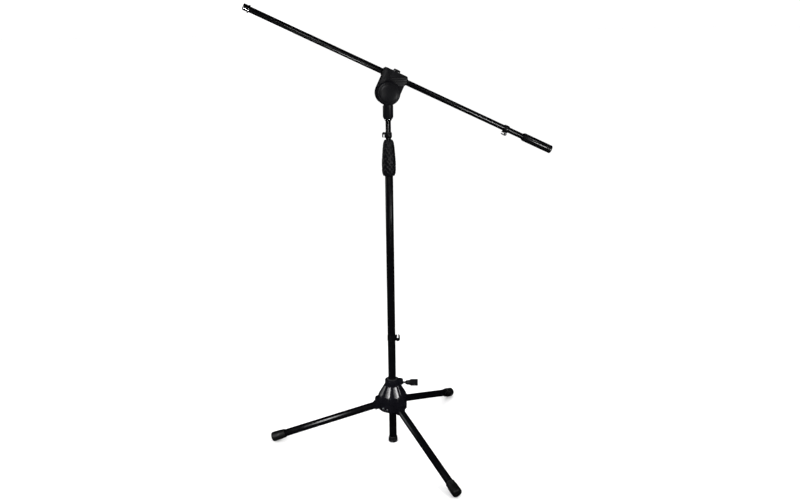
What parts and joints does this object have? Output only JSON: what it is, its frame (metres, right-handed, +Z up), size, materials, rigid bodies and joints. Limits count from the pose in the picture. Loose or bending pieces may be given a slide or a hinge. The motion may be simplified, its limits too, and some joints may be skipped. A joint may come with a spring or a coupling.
{
  "type": "boom microphone stand",
  "caption": "Boom microphone stand: folding tripod base with rubber feet, telescopic mast with twist clutch, tilting boom arm with threaded microphone end.",
  "frame": {"origin": "on the floor, on the axis of the mast, at the flat underside of the mast's rubber cap", "axes": "+Z up along the mast; the boom lies in the XZ direction with its threaded end towards -X and up, its handle towards +X"},
  "size_m": [0.7355, 0.5481, 1.1075],
  "materials": {
    "black_paint": "satin black powder coat",
    "hub_plastic": "black moulded plastic, semi-gloss on the raised panels",
    "swivel_plastic": "black moulded plastic",
    "knob_plastic": "black moulded plastic",
    "clip_plastic": "black push-fit clip",
    "bush_nylon": "dark nylon",
    "grip_rubber": "knurled soft grip",
    "handle_rubber": "smooth satin sleeve",
    "foot_rubber": "moulded rubber",
    "chrome": "polished",
    "screw_steel": "zinc plated",
    "screw_black": "black oxide",
    "brass": "plain"
  },
  "bodies": {
    "hub": {"hub_base": "hub_plastic", "hub_cover": "hub_plastic", "hub_collar": "hub_plastic", "hub_bush": "bush_nylon", "leg_pivot_pins": "screw_steel", "lock_pad": "brass"},
    "lock_knob": {"lock_screw": "screw_steel", "lock_knob": "knob_plastic"},
    "left_leg": {"left_leg_root": "hub_plastic", "left_leg_tube": "black_paint", "left_foot": "foot_rubber"},
    "back_leg": {"back_leg_root": "hub_plastic", "back_leg_tube": "black_paint", "back_foot": "foot_rubber"},
    "front_leg": {"front_leg_root": "hub_plastic", "front_leg_tube": "black_paint", "front_foot": "foot_rubber"},
    "mast": {"mast_tube": "black_paint", "mast_cap": "foot_rubber", "mast_clip": "clip_plastic", "clutch_sleeve": "bush_nylon"},
    "clutch_grip": {"clutch_grip": "grip_rubber"},
    "collet": {"clutch_collet": "bush_nylon"},
    "inner_mast": {"inner_tube": "black_paint", "inner_glide": "bush_nylon", "inner_clip": "clip_plastic", "swivel_stud": "chrome", "swivel_base": "swivel_plastic", "tilt_cap": "swivel_plastic", "tilt_bolt": "screw_steel", "tilt_washers": "screw_steel"},
    "swivel_head": {"swivel_head": "swivel_plastic"},
    "tilt_knob": {"tilt_knob": "knob_plastic", "tilt_nut": "brass"},
    "clamp_screw": {"clamp_screw": "screw_black"},
    "boom_bush": {"boom_bush": "bush_nylon"},
    "boom": {"boom_tube": "black_paint", "boom_stud": "chrome", "boom_grip": "handle_rubber", "boom_end_plug": "knob_plastic", "boom_clip": "clip_plastic"}
  },
  "joints": [
    {"name": "left_leg_fold", "type": "hinge", "parent": "hub", "child": "left_leg", "pos_m": [-0.02193, 0.00458, 0.1048], "axis": [-0.2045, -0.9789, 0], "range_deg": [0, 71]},
    {"name": "back_leg_fold", "type": "hinge", "parent": "hub", "child": "back_leg", "pos_m": [0.01493, 0.0167, 0.1048], "axis": [-0.7455, 0.6665, 0], "range_deg": [0, 71]},
    {"name": "front_leg_fold", "type": "hinge", "parent": "hub", "child": "front_leg", "pos_m": [0.007, -0.02128, 0.1048], "axis": [0.95, 0.3123, 0], "range_deg": [0, 71]},
    {"name": "lock_knob_turn", "type": "hinge", "parent": "hub", "child": "lock_knob", "pos_m": [0.04894, -0.01022, 0.1664], "axis": [0.9789, -0.2045, 0], "range_deg": [0, 360]},
    {"name": "mast_slide", "type": "slide", "parent": "hub", "child": "mast", "axis": [0, 0, 1], "range_m": [-0.1, 0.07]},
    {"name": "clutch_twist", "type": "hinge", "parent": "mast", "child": "clutch_grip", "pos_m": [0, 0, 0.75], "axis": [0, 0, 1], "range_deg": [0, 150]},
    {"name": "mast_turn", "type": "hinge", "parent": "mast", "child": "collet", "pos_m": [0, 0, 0.76], "axis": [0, 0, 1], "range_deg": [-180, 180]},
    {"name": "inner_slide", "type": "slide", "parent": "collet", "child": "inner_mast", "axis": [0, 0, 1], "range_m": [-0.005, 0.56]},
    {"name": "boom_tilt", "type": "hinge", "parent": "inner_mast", "child": "swivel_head", "pos_m": [0, 0, 0.9015], "axis": [0, 1, 0], "range_deg": [-105, 57]},
    {"name": "tilt_knob_turn", "type": "hinge", "parent": "inner_mast", "child": "tilt_knob", "pos_m": [0, 0.03, 0.9015], "axis": [0, 1, 0], "range_deg": [0, 360]},
    {"name": "clamp_screw_turn", "type": "hinge", "parent": "swivel_head", "child": "clamp_screw", "pos_m": [0.02255, 0.00705, 0.94836], "axis": [0.4337, 0, 0.9011], "range_deg": [0, 360]},
    {"name": "boom_roll", "type": "hinge", "parent": "swivel_head", "child": "boom_bush", "pos_m": [0.01735, 0.00705, 0.93754], "axis": [-0.9011, 0, 0.4337], "range_deg": [-180, 180]},
    {"name": "boom_slide", "type": "slide", "parent": "boom_bush", "child": "boom", "axis": [-0.9011, 0, 0.4337], "range_m": [-0.25, 0.25]}
  ]
}
